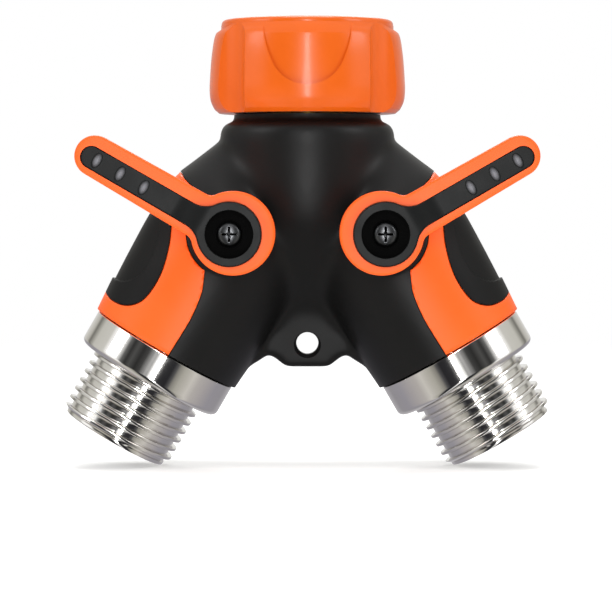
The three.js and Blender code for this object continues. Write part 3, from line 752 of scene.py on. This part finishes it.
# %% Lever screws
def lever_screw():
    dome = [(0, -27.2), (0.9, -27.17), (1.8, -27.0), (2.4, -26.7), (2.75, -26.25), (2.85, -25.8),
            (2.8, -25.35), (2.6, -25.25), (1.3, -25.25), (1.3, -19.8), (0, -19.8)]
    screw = turn("screw", [(radius, -y) for radius, y in dome], 96, closed=False)
    put_at(screw, Matrix.Rotation(math.pi / 2, 4, "X"))
    for turned_by in (0, 90):
        wing = slab("wing", [(-0.42, 3.4), (0.42, 3.4), (0, 0)], -1.7, 1.7)
        upright = Matrix.Rotation(math.radians(turned_by) - LEG_TILT, 4, "Y")
        lying = Matrix.Translation((0, -25.1 * MM, 0)) @ Matrix.Rotation(math.pi / 2, 4, "X")
        combine(screw, put_at(wing, upright @ lying), "DIFFERENCE")
    tidy_faces(screw)
    round_edges(screw, 0.08, 2, 40)
    return both_sides(smooth(screw, 40), "lever_screw_head")


screws = lever_screw()
print("screw faces", len(screws["left"].data.polygons))


# %% [markdown]
# Looking into the outlets one sees the white seats and the chromed balls, so those are made round
# too: a sphere with its port bored through, and turned rings. The rest of the inside stays as the
# frame has it.

# %% Balls and seats
BALL_R, PORT_R = 9.95, 6.2


def valve_ball():
    bpy.ops.object.select_all(action="DESELECT")
    bpy.ops.mesh.primitive_uv_sphere_add(segments=96, ring_count=48, radius=BALL_R * MM)
    ball = bpy.context.active_object
    ball.name = "ball"
    port = put_at(rod("port", PORT_R, 12, -12, vertices=96), Matrix.Rotation(math.pi / 2, 4, "Z"))
    combine(ball, port, "DIFFERENCE")
    combine(ball, slab("slot", rectangle(3.6, 2.2), -7.4, -12), "DIFFERENCE")
    round_edges(tidy_faces(ball), 0.3, 3, 40)
    return both_sides(smooth(ball, 30), "valve_ball_chromed")


def ball_seats(end, word):
    outer = 10.9
    profile = [(6.5, 9.1 * end), (6.6, 9.2 * end), (outer - 0.2, 9.2 * end), (outer, 9.0 * end),
               (outer, 4.6 * end), (9.7, 4.5 * end), (6.5, 8.2 * end)]
    return both_sides(smooth(turn(word, profile, 96), 30), f"{word}_ball_seat_turned")


balls = valve_ball()
seats = {"upper": ball_seats(1, "upper"), "lower": ball_seats(-1, "lower")}
print("ball faces", len(balls["left"].data.polygons))

# %% [markdown]
# Materials. Each is named for what the real piece is made of and built from the same few nodes. Hex
# colours are turned to linear light once, and every pattern is sized from a length in millimetres.


# %% Material helpers
def linear(colour):
    """An sRGB hex colour as linear red, green, blue and alpha."""
    channels = [int(colour[i:i + 2], 16) / 255 for i in (1, 3, 5)]
    return [c / 12.92 if c <= 0.04045 else ((c + 0.055) / 1.055) ** 2.4 for c in channels] + [1]


def add_node(tree, kind, inputs=None, **settings):
    """Adds a node, sets it, and fills its inputs with values or links to other nodes' sockets."""
    made = tree.nodes.new(kind)
    for name, value in settings.items():
        setattr(made, name, value)
    for socket, value in (inputs or {}).items():
        if isinstance(value, bpy.types.NodeSocket):
            tree.links.new(value, made.inputs[socket])
        else:
            made.inputs[socket].default_value = value
    return made


def per_metre(size_mm):
    """Texture scale that gives a pattern features of about this size."""
    return 1 / (size_mm * MM)


def new_material(name, **values):
    """A material with one Principled shader; the values are set on the shader's own sockets."""
    material = bpy.data.materials.new(name)
    material.use_nodes = True
    tree = material.node_tree
    shader = tree.nodes["Principled BSDF"]
    for socket, value in values.items():
        shader.inputs[socket.replace("_", " ")].default_value = value
    where = add_node(tree, "ShaderNodeTexCoord").outputs["Object"]
    return material, tree, shader, where


def vary(tree, shader, where, size_mm, dark, light, rough_low, rough_high):
    """Slow, faint changes of colour and roughness, as in any moulded or plated surface."""
    cloud = add_node(tree, "ShaderNodeTexNoise",
                     {"Vector": where, "Scale": per_metre(size_mm), "Detail": 4, "Roughness": 0.6})
    share = cloud.outputs["Fac"]
    colour = add_node(tree, "ShaderNodeMix", {"Factor": share, "A": linear(dark), "B": linear(light)},
                      data_type="RGBA")
    rough = add_node(tree, "ShaderNodeMapRange", {"Value": share, "From Min": 0.3, "From Max": 0.7,
                                                  "To Min": rough_low, "To Max": rough_high})
    tree.links.new(colour.outputs["Result"], shader.inputs["Base Color"])
    tree.links.new(rough.outputs["Result"], shader.inputs["Roughness"])


def grain(tree, shader, where, size_mm, height_mm, strength):
    """A fine raised grain, such as a spark-eroded mould leaves."""
    speckle = add_node(tree, "ShaderNodeTexNoise",
                       {"Vector": where, "Scale": per_metre(size_mm), "Detail": 3})
    bump = add_node(tree, "ShaderNodeBump", {"Height": speckle.outputs["Fac"], "Distance": height_mm * MM,
                                             "Strength": strength})
    tree.links.new(bump.outputs["Normal"], shader.inputs["Normal"])


# %% [markdown]
# The plastics and rubbers. A moulded part shows the mould's own surface: polished for the nut, finely
# spark-eroded for the grips and the soft black shell. Painting them by hand would not tile or scale,
# so slow noise varies colour and gloss and a fine noise raises the grain.

# %% Plastics and rubbers
def tpe_overmould():
    """Soft black elastomer from a fine spark-eroded mould: dark, satin, with broad soft highlights."""
    material, tree, shader, where = new_material("black_tpe_overmould", IOR=1.45, Specular_IOR_Level=0.27)
    vary(tree, shader, where, 14, "#0d0d0d", "#111111", 0.4, 0.46)
    grain(tree, shader, where, 0.35, 0.01, 0.5)
    return material


def thumb_rubber():
    """The same elastomer on the thumb pads, from a coarser mould: duller, so the thumb grips it."""
    material, tree, shader, where = new_material("black_tpe_thumb_pad", IOR=1.45, Specular_IOR_Level=0.15)
    vary(tree, shader, where, 10, "#0e0e0e", "#121212", 0.46, 0.54)
    grain(tree, shader, where, 0.5, 0.012, 0.5)
    return material


def glossy_abs():
    """Polished-mould ABS of the tap nut: saturated orange with sharp highlights on its edges."""
    material, tree, shader, where = new_material("orange_abs_gloss", IOR=1.48, Specular_IOR_Level=0.2,
                                                 Coat_Weight=0.35, Coat_Roughness=0.17)
    vary(tree, shader, where, 9, "#d0580e", "#da5e12", 0.3, 0.38)
    grain(tree, shader, where, 0.8, 0.008, 0.4)
    return material


def satin_abs():
    """Fine-textured ABS of the grips and levers: a slightly redder orange with a satin face."""
    material, tree, shader, where = new_material("orange_abs_satin", IOR=1.5, Specular_IOR_Level=0.3)
    vary(tree, shader, where, 11, "#f55a12", "#fc6018", 0.42, 0.5)
    grain(tree, shader, where, 0.3, 0.008, 0.5)
    return material


def blend_in(tree, shader, socket, share, value, kind):
    """Mixes a value into whatever already feeds one of the shader's sockets, by share."""
    usual = shader.inputs[socket].links[0].from_socket
    mixed = add_node(tree, "ShaderNodeMix", data_type=kind)
    factor, first, second = [i for i in mixed.inputs if i.enabled]
    tree.links.new(share, factor)
    tree.links.new(usual, first)
    second.default_value = value
    tree.links.new([o for o in mixed.outputs if o.enabled][0], shader.inputs[socket])


def nylon_inlay():
    """Glass-filled nylon of the lever inlays: dark satin, with a pale painted highlight on the ribs and painted
    shade, nearly black and matt, in the well round the screw.
    """
    material, tree, shader, where = new_material("dark_grey_nylon", IOR=1.5, Specular_IOR_Level=0.13)
    vary(tree, shader, where, 6, "#131414", "#171818", 0.36, 0.44)
    grain(tree, shader, where, 0.3, 0.004, 0.4)
    place = add_node(tree, "ShaderNodeSeparateXYZ", {"Vector": where})
    aside = add_node(tree, "ShaderNodeMath", {0: place.outputs["X"]}, operation="ABSOLUTE")
    flat = add_node(tree, "ShaderNodeCombineXYZ",
                    {"X": aside.outputs[0], "Y": 0.0, "Z": place.outputs["Z"]})
    pivot = (-ball_centre.x, 0, ball_centre.z)
    from_screw = add_node(tree, "ShaderNodeVectorMath", {0: flat.outputs["Vector"], 1: pivot},
                          operation="DISTANCE")

    def within(measure, start, full):
        return add_node(tree, "ShaderNodeMapRange", {"Value": measure, "From Min": start * MM,
                                                     "From Max": full * MM}).outputs["Result"]

    def both(one, other):
        return add_node(tree, "ShaderNodeMath", {0: one, 1: other}, operation="MULTIPLY").outputs[0]

    away, depth = from_screw.outputs["Value"], place.outputs["Y"]
    # Painted highlight: this mask picks the raised rib tops on the arm, which are painted pale grey below.
    on_arm = within(away, RIB_PLACES[0] - 4, RIB_PLACES[0] - 3)
    rib_painted_highlight = both(on_arm, within(depth, ARM_FACE - 0.05, ARM_FACE - RIB_HIGH))
    # Painted shade: this mask picks the recess round the screw, which is painted nearly black below.
    well_painted_shade = both(within(away, RECESS_R + 0.1, RECESS_R - 0.1),
                within(depth, COLLAR_HIGH + 0.1, COLLAR_HIGH + 0.5))
    # Painted highlight: the rib tops are painted pale grey.
    blend_in(tree, shader, "Base Color", rib_painted_highlight, linear("#77777c"), "RGBA")
    # Painted shade: the well round the screw is painted nearly black, and made matt.
    blend_in(tree, shader, "Base Color", well_painted_shade, linear("#050505"), "RGBA")
    blend_in(tree, shader, "Roughness", well_painted_shade, 0.95, "FLOAT")
    return material


def nitrile_rubber():
    """Matt black rubber of the washer and the O-rings."""
    material, tree, shader, where = new_material("black_nitrile_rubber", IOR=1.52)
    vary(tree, shader, where, 3, "#1c1b1e", "#242327", 0.6, 0.72)
    grain(tree, shader, where, 0.25, 0.015, 0.6)
    return material


def ptfe():
    """White, waxy PTFE of the ball seats."""
    material, tree, shader, where = new_material("white_ptfe", IOR=1.38, Subsurface_Weight=0.1)
    vary(tree, shader, where, 4, "#e9e6dd", "#f3f1ea", 0.42, 0.5)
    return material


# %% [markdown]
# The metals were turned on a lathe, so their finest marks run round the axis. For the two legs the
# distance along the axis is half of |x| less 0.87 of z, and a noise that changes only with that
# distance draws the turning lines on both legs at once.


# %% Metals
def turned_metal(name, dark, light, rough_low, rough_high, line_mm, height_mm, along_leg):
    material, tree, shader, where = new_material(name, Metallic=1.0)
    vary(tree, shader, where, 7, dark, light, rough_low, rough_high)
    place = add_node(tree, "ShaderNodeSeparateXYZ", {"Vector": where})
    along = place.outputs["Z"]
    if along_leg:
        across = add_node(tree, "ShaderNodeMath", {0: place.outputs["X"]}, operation="ABSOLUTE")
        half = add_node(tree, "ShaderNodeMath", {0: across.outputs[0], 1: math.sin(LEG_TILT)},
                        operation="MULTIPLY")
        down = add_node(tree, "ShaderNodeMath", {0: along, 1: -math.cos(LEG_TILT), 2: half.outputs[0]},
                        operation="MULTIPLY_ADD")
        along = down.outputs[0]
    lines = add_node(tree, "ShaderNodeTexNoise", {"W": along, "Scale": per_metre(line_mm), "Detail": 2},
                     noise_dimensions="1D")
    bump = add_node(tree, "ShaderNodeBump", {"Height": lines.outputs["Fac"], "Distance": height_mm * MM,
                                             "Strength": 0.5})
    tree.links.new(bump.outputs["Normal"], shader.inputs["Normal"])
    return material


MATERIALS = {
    "soft_black": tpe_overmould(),
    "orange_nut": glossy_abs(),
    "orange_grip": satin_abs(),
    "grey_inlay": nylon_inlay(),
    "rubber": nitrile_rubber(),
    "seat_plastic": ptfe(),
    "bright_plating": turned_metal("polished_nickel_plating", "#e4e2de", "#edebe8", 0.05, 0.09, 1.4,
                                   0.0012, True),
    "cast_metal": turned_metal("machined_zinc_casting", "#85888a", "#9a9d9f", 0.32, 0.45, 0.9, 0.004,
                               False),
    "brass": turned_metal("turned_brass", "#b38f4c", "#c9a45a", 0.22, 0.32, 0.8, 0.003, False),
    "dark_steel": turned_metal("black_zinc_screw_steel", "#525355", "#626365", 0.26, 0.34, 0.8, 0.002,
                               False),
}
pad_rubber = thumb_rubber()
print("materials", sorted(MATERIALS))

# %% [markdown]
# Every finished piece now moves with its body and has its finish, and the frame node it stands for is hidden.
# The frame nodes that stay visible get their finish from the same list.

# %% Attach the pieces
slots_of_nodes = {part["node"]: part["material_slot"] for part in frame["record"]["subparts"]}
node_body = {node: body for body, nodes in frame["record"]["behaviour"]["bodies"].items() for node in nodes}


def attach(piece, node):
    piece.data.materials.clear()
    piece.data.materials.append(MATERIALS[slots_of_nodes[node]])
    for face in piece.data.polygons:
        face.material_index = 0
    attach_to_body(piece, node_body[node])
    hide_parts(node)


for node, cad in frame["nodes"].items():
    cad.data.materials.clear()
    cad.data.materials.append(MATERIALS[slots_of_nodes[node]])
attach(shell, "body_shell")
attach(grip, "nut_grip")
attach(insert, "nut_threaded_insert")
attach(tail, "inlet_tailpiece")
attach(washer, "inlet_washer")
for word in SIDES:
    attach(panels[word], f"{word}_side_panel")
    attach(pads[word], f"{word}_thumb_pad")
    pads[word].data.materials[0] = pad_rubber
    attach(fittings[word], f"{word}_outlet_fitting")
    attach(levers[word], f"{word}_lever")
    attach(inlays[word], f"{word}_lever_inlay")
    attach(screws[word], f"{word}_lever_screw")
    attach(balls[word], f"{word}_valve_ball")
    for end in seats:
        attach(seats[end][word], f"{word}_{end}_ball_seat")

# %% [markdown]
# The set is a plain pale floor and a soft studio. The floor fades out into the backdrop with its
# distance, as a paper sweep does, so no horizon cuts across behind the object. It is left out of
# reflections and blocks no light, so the metal shows the cards below the table and the strip reaches it.

# %% Floor
def studio_floor():
    bpy.ops.object.select_all(action="DESELECT")
    bpy.ops.mesh.primitive_circle_add(vertices=96, radius=0.9, fill_type="NGON",
                                      location=(0, 0, cad_box[0][2] - 0.3 * MM))
    floor = bpy.context.active_object
    floor.name = "studio_floor"
    bpy.ops.object.transform_apply(location=True, rotation=True, scale=True)
    material, tree, shader, where = new_material("matt_white_floor", Roughness=0.9, Specular_IOR_Level=0.1,
                                                 Emission_Strength=0.3)
    shader.inputs["Base Color"].default_value = linear("#f6f6f5")
    shader.inputs["Emission Color"].default_value = linear("#ffffff")
    place = add_node(tree, "ShaderNodeSeparateXYZ", {"Vector": where})
    flat = add_node(tree, "ShaderNodeCombineXYZ", {"X": place.outputs["X"], "Y": place.outputs["Y"]})
    far = add_node(tree, "ShaderNodeVectorMath", {0: flat.outputs["Vector"]}, operation="LENGTH")
    fade = add_node(tree, "ShaderNodeMapRange",
                    {"Value": far.outputs["Value"], "From Min": 0.12, "From Max": 0.6, "To Min": 1.0,
                     "To Max": 0.0}, interpolation_type="SMOOTHSTEP")
    tree.links.new(fade.outputs["Result"], shader.inputs["Alpha"])
    floor.data.materials.append(material)
    floor.visible_glossy = False
    floor.visible_shadow = False


studio_floor()

# %% [markdown]
# Polished metal only looks like metal when it has something to reflect. A product photographer hangs
# white and black cards round the table, and the world does the same here: two rings of panels, one
# above the table and one below it, the same on both sides of the camera. The camera itself sees only
# an even white backdrop.

# %% World
CARD_STRENGTH = 1.15
CARDS_ABOVE = [(0, "#ffffff"), (7, "#ffffff"), (11, "#969696"), (17, "#414141"), (25, "#2c2c2c"), (34, "#4e4e4e"),
               (41, "#303030"), (48, "#646464"), (55, "#ebebeb"), (62, "#ffffff"), (80, "#fafafa"), (88, "#c9c8c3"),
               (114, "#c2c1bb"), (124, "#989791"), (131, "#74736e"), (140, "#b8b6b0"), (180, "#e2e2e0")]
CARDS_BELOW = [(0, "#ffffff"), (3, "#fafafa"), (6, "#676767"), (10, "#2b2b2e"), (21, "#28282b"), (26, "#505052"),
               (30, "#87857f"), (38, "#aaa8a0"), (49, "#bbb8b2"), (57, "#c9c6c1"), (70, "#b2aeac"), (90, "#a5a1a3"),
               (115, "#94929a"), (143, "#929096"), (180, "#b4b2b6")]


def ring_of_cards(tree, angle, cards):
    """A ramp of colours by the angle away from the camera's side, from 0 to 180 degrees."""
    made = add_node(tree, "ShaderNodeValToRGB", {"Fac": angle})
    ramp = made.color_ramp
    ramp.elements.remove(ramp.elements[1])
    ramp.elements[0].color = linear(cards[0][1])
    for degrees, colour in cards[1:]:
        ramp.elements.new(degrees / 180).color = linear(colour)
    return made.outputs["Color"]


def studio_world():
    world = bpy.data.worlds.new("studio")
    bpy.context.scene.world = world
    world.use_nodes = True
    tree = world.node_tree
    tree.nodes.clear()
    look = add_node(tree, "ShaderNodeTexCoord").outputs["Generated"]
    direction = add_node(tree, "ShaderNodeSeparateXYZ", {"Vector": look})
    aside = add_node(tree, "ShaderNodeMath", {0: direction.outputs["X"]}, operation="ABSOLUTE")
    ahead = add_node(tree, "ShaderNodeMath", {0: direction.outputs["Y"], 1: -1.0}, operation="MULTIPLY")
    around = add_node(tree, "ShaderNodeMath", {0: aside.outputs[0], 1: ahead.outputs[0]},
                      operation="ARCTAN2")
    angle = add_node(tree, "ShaderNodeMath", {0: around.outputs[0], 1: 1 / math.pi},
                     operation="MULTIPLY").outputs[0]
    height = direction.outputs["Z"]
    above = add_node(tree, "ShaderNodeMapRange", {"Value": height, "From Min": -0.06, "From Max": 0.06},
                     interpolation_type="SMOOTHSTEP")
    rings = add_node(tree, "ShaderNodeMix",
                     {"Factor": above.outputs["Result"], "A": ring_of_cards(tree, angle, CARDS_BELOW),
                      "B": ring_of_cards(tree, angle, CARDS_ABOVE)}, data_type="RGBA")
    overhead = add_node(tree, "ShaderNodeMapRange", {"Value": height, "From Min": 0.55, "From Max": 0.8})
    lit = add_node(tree, "ShaderNodeMix",
                   {"Factor": overhead.outputs["Result"], "A": rings.outputs["Result"],
                    "B": linear("#e6e6e6")}, data_type="RGBA")
    seen = add_node(tree, "ShaderNodeLightPath").outputs["Is Camera Ray"]
    shade = add_node(tree, "ShaderNodeMix",
                     {"Factor": seen, "A": lit.outputs["Result"], "B": linear("#ffffff")},
                     data_type="RGBA")
    power = add_node(tree, "ShaderNodeMapRange", {"Value": seen, "To Min": CARD_STRENGTH, "To Max": 1.0})
    background = add_node(tree, "ShaderNodeBackground", {"Color": shade.outputs["Result"],
                                                         "Strength": power.outputs["Result"]})
    add_node(tree, "ShaderNodeOutputWorld", {"Surface": background.outputs["Background"]})


studio_world()

# %% [markdown]
# Five softboxes add shape: a tall strip by the camera for the faces, one raised on each side that
# draws the long highlights, one overhead and one behind that parts the black shell from the backdrop.

# %% Softboxes
MIDDLE = Vector((-0.0003, 0, -0.052))


def softbox(name, aside, height, distance, width, tall, power):
    """An area light, aimed at the middle, at angles in degrees from the camera and from the table."""
    light = bpy.data.lights.new(name, "AREA")
    light.shape = "RECTANGLE"
    light.size, light.size_y, light.energy = width, tall, power
    lamp = bpy.data.objects.new(name, light)
    bpy.context.scene.collection.objects.link(lamp)
    turned, raised = math.radians(aside), math.radians(height)
    level = math.cos(raised)
    away = Vector((math.sin(turned) * level, -math.cos(turned) * level, math.sin(raised)))
    lamp.location = MIDDLE + away * distance
    lamp.rotation_euler = (-away).to_track_quat("-Z", "Y").to_euler()


softbox("front_strip", 0, 3, 0.85, 0.07, 0.7, 3.4)
softbox("left_softbox", -66, 30, 0.8, 0.28, 0.28, 1.1)
softbox("right_softbox", 66, 30, 0.8, 0.28, 0.28, 1.1)
softbox("top_softbox", 180, 84, 0.8, 0.4, 0.25, 2.8)
softbox("back_softbox", 180, 40, 0.8, 0.3, 0.3, 1.5)

# %% [markdown]
# The camera looks straight at the front from just above the middle, through a long lens, so the two
# legs stay parallel-sided. A short lens close up would swell the levers.

# %% Camera
camera_data = bpy.data.cameras.new("camera")
camera_data.sensor_width = 36
camera_data.lens = 173
camera = bpy.data.objects.new("camera", camera_data)
bpy.context.scene.collection.objects.link(camera)
camera.location = (MIDDLE.x, -0.665, -0.0285)
camera.rotation_euler = (MIDDLE - camera.location).to_track_quat("-Z", "Y").to_euler()
bpy.context.scene.camera = camera
bpy.context.scene.view_settings.view_transform = "Standard"
print("camera at", camera.location)

# %% [markdown]

# %% End
import json
